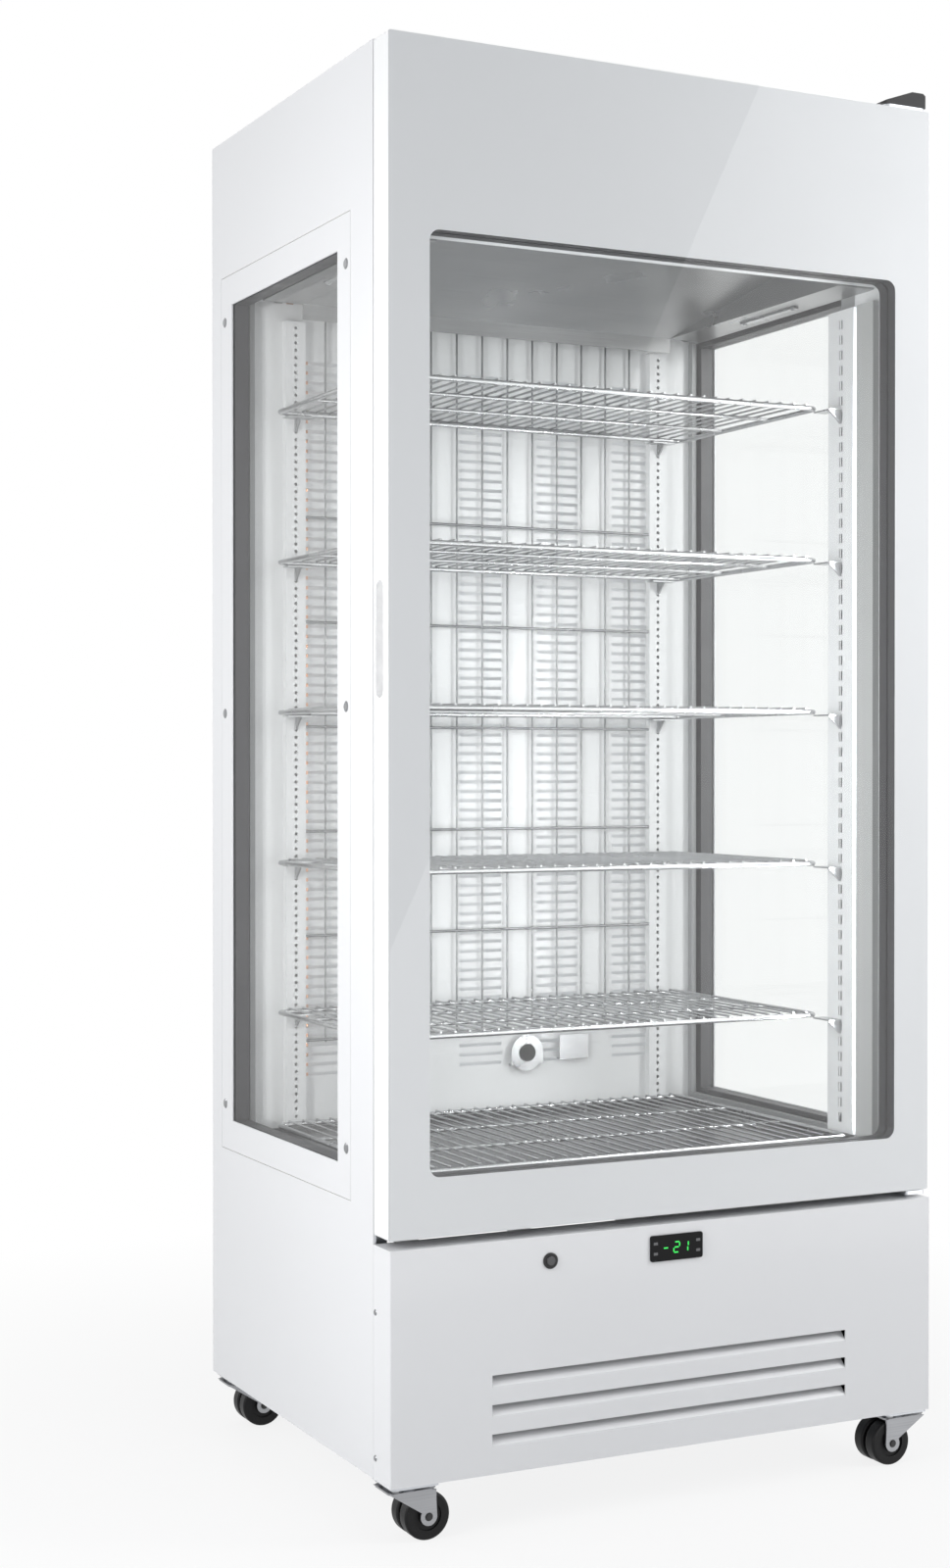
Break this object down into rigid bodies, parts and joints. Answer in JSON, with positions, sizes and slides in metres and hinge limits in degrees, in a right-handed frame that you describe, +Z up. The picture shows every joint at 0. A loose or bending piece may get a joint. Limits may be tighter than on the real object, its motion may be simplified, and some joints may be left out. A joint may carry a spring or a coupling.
{
  "type": "vertical refrigerated pastry display cabinet",
  "caption": "Tall white pastry display case with a glass door, glazed sides, wire shelves, a machine base and swivel casters.",
  "frame": {"origin": "centre of the bounding box's footprint, on the floor under the casters", "axes": "+X to the right as seen from the door, +Y to the back, +Z up"},
  "size_m": [0.8024, 0.623, 1.851],
  "materials": {
    "white_panel": "gloss",
    "white_profile": "satin",
    "white_print": "gloss",
    "foam": "matte",
    "liner_steel": "satin",
    "grey_profile": "satin",
    "clear_glass": "clear",
    "black_seal": "satin",
    "steel_screws": "polished",
    "black_plastic": "satin",
    "grey_plastic": "satin",
    "grey_rubber": "matte",
    "zinc_steel": "satin",
    "stainless": "brushed",
    "shelf_wire": "satin",
    "dark_tray": "satin",
    "lamp_lens": "translucent",
    "coil_fins": "satin",
    "black_enamel": "gloss",
    "copper": "satin",
    "wheel_black": "satin"
  },
  "bodies": {
    "cabinet": {"left_side_panel": "white_panel", "right_side_panel": "white_panel", "roof_and_rear_panels": "white_panel", "body_insulation": "foam", "chamber_liner": "liner_steel", "front_frame": "white_panel", "chassis": "zinc_steel", "side_window_trims": "white_panel", "side_window_panes": "clear_glass", "side_window_spacers": "black_seal", "side_window_inner_frames": "grey_profile", "fasteners": "steel_screws", "lower_front_cover": "white_panel", "temperature_controller": "black_plastic", "lamp_switch_housing": "black_plastic", "door_hinges": "zinc_steel", "hinge_cap_and_washer": "black_plastic", "shelf_uprights": "stainless", "duct_panel": "liner_steel", "wire_guard": "shelf_wire", "floor_tray": "dark_tray", "shelf_clips": "stainless", "chamber_brackets": "stainless", "temperature_probe": "black_plastic", "lamp_housings": "white_profile", "lamp_lenses": "lamp_lens", "ceiling_cover": "stainless", "evaporator_coil": "coil_fins", "fan_housings": "black_plastic", "compressor": "black_enamel", "condenser_coil": "coil_fins", "electrical_box_and_gland": "black_plastic", "refrigerant_lines": "copper", "drain_pipe_and_tray": "grey_plastic", "caster_plates": "zinc_steel"},
    "door": {"door_front_glass": "clear_glass", "door_border_print": "white_print", "door_inner_panes": "clear_glass", "door_spacers": "black_seal", "door_frame": "white_profile", "door_insulation": "foam", "door_gasket": "grey_rubber", "door_pull_cup": "grey_plastic"},
    "lamp_switch_button": {"lamp_switch_button": "grey_plastic"},
    "evaporator_fan_rotor": {"evaporator_fan_rotor": "black_plastic"},
    "condenser_fan_rotor": {"condenser_fan_rotor": "grey_plastic"},
    "bottom_rack": {"bottom_rack": "shelf_wire"},
    "wire_shelf_1": {"wire_shelf_1": "shelf_wire"},
    "wire_shelf_2": {"wire_shelf_2": "shelf_wire"},
    "wire_shelf_3": {"wire_shelf_3": "shelf_wire"},
    "wire_shelf_4": {"wire_shelf_4": "shelf_wire"},
    "wire_shelf_5": {"wire_shelf_5": "shelf_wire"},
    "caster_fork_front_left": {"caster_fork_front_left": "zinc_steel"},
    "caster_wheel_front_left": {"caster_wheel_front_left": "wheel_black"},
    "caster_fork_front_right": {"caster_fork_front_right": "zinc_steel"},
    "caster_wheel_front_right": {"caster_wheel_front_right": "wheel_black"},
    "caster_fork_rear_left": {"caster_fork_rear_left": "zinc_steel"},
    "caster_wheel_rear_left": {"caster_wheel_rear_left": "wheel_black"},
    "caster_fork_rear_right": {"caster_fork_rear_right": "zinc_steel"},
    "caster_wheel_rear_right": {"caster_wheel_rear_right": "wheel_black"}
  },
  "joints": [
    {"name": "door_swing", "type": "hinge", "parent": "cabinet", "child": "door", "pos_m": [0.39, -0.2845, 0.37], "axis": [0, 0, 1], "range_deg": [0, 110]},
    {"name": "wire_shelf_1_lift", "type": "slide", "parent": "cabinet", "child": "wire_shelf_1", "axis": [0, 0, 1], "range_m": [0, 0.02]},
    {"name": "wire_shelf_2_lift", "type": "slide", "parent": "cabinet", "child": "wire_shelf_2", "axis": [0, 0, 1], "range_m": [0, 0.02]},
    {"name": "wire_shelf_3_lift", "type": "slide", "parent": "cabinet", "child": "wire_shelf_3", "axis": [0, 0, 1], "range_m": [0, 0.02]},
    {"name": "wire_shelf_4_lift", "type": "slide", "parent": "cabinet", "child": "wire_shelf_4", "axis": [0, 0, 1], "range_m": [0, 0.02]},
    {"name": "wire_shelf_5_lift", "type": "slide", "parent": "cabinet", "child": "wire_shelf_5", "axis": [0, 0, 1], "range_m": [0, 0.02]},
    {"name": "bottom_rack_lift", "type": "slide", "parent": "cabinet", "child": "bottom_rack", "axis": [0, 0, 1], "range_m": [0, 0.02]},
    {"name": "lamp_switch_press", "type": "slide", "parent": "cabinet", "child": "lamp_switch_button", "axis": [0, 1, 0], "range_m": [0, 0.0025], "stiffness_N_per_m": 400, "springref_m": -0.001},
    {"name": "evaporator_fan_spin", "type": "hinge", "parent": "cabinet", "child": "evaporator_fan_rotor", "pos_m": [0, 0.03775, 1.725], "axis": [0, 1, 0], "continuous": true},
    {"name": "condenser_fan_spin", "type": "hinge", "parent": "cabinet", "child": "condenser_fan_rotor", "pos_m": [-0.1, -0.16, 0.184], "axis": [0, 1, 0], "continuous": true},
    {"name": "caster_swivel_front_left", "type": "hinge", "parent": "cabinet", "child": "caster_fork_front_left", "pos_m": [-0.365, -0.2755, 0.0615], "axis": [0, 0, 1], "continuous": true},
    {"name": "caster_roll_front_left", "type": "hinge", "parent": "caster_fork_front_left", "child": "caster_wheel_front_left", "pos_m": [-0.345, -0.2755, 0.03], "axis": [0, 1, 0], "continuous": true},
    {"name": "caster_swivel_front_right", "type": "hinge", "parent": "cabinet", "child": "caster_fork_front_right", "pos_m": [0.365, -0.2755, 0.0615], "axis": [0, 0, 1], "continuous": true},
    {"name": "caster_roll_front_right", "type": "hinge", "parent": "caster_fork_front_right", "child": "caster_wheel_front_right", "pos_m": [0.345, -0.2755, 0.03], "axis": [0, 1, 0], "continuous": true},
    {"name": "caster_swivel_rear_left", "type": "hinge", "parent": "cabinet", "child": "caster_fork_rear_left", "pos_m": [-0.365, 0.2755, 0.0615], "axis": [0, 0, 1], "continuous": true},
    {"name": "caster_roll_rear_left", "type": "hinge", "parent": "caster_fork_rear_left", "child": "caster_wheel_rear_left", "pos_m": [-0.345, 0.2755, 0.03], "axis": [0, 1, 0], "continuous": true},
    {"name": "caster_swivel_rear_right", "type": "hinge", "parent": "cabinet", "child": "caster_fork_rear_right", "pos_m": [0.365, 0.2755, 0.0615], "axis": [0, 0, 1], "continuous": true},
    {"name": "caster_roll_rear_right", "type": "hinge", "parent": "caster_fork_rear_right", "child": "caster_wheel_rear_right", "pos_m": [0.345, 0.2755, 0.03], "axis": [0, 1, 0], "continuous": true}
  ]
}
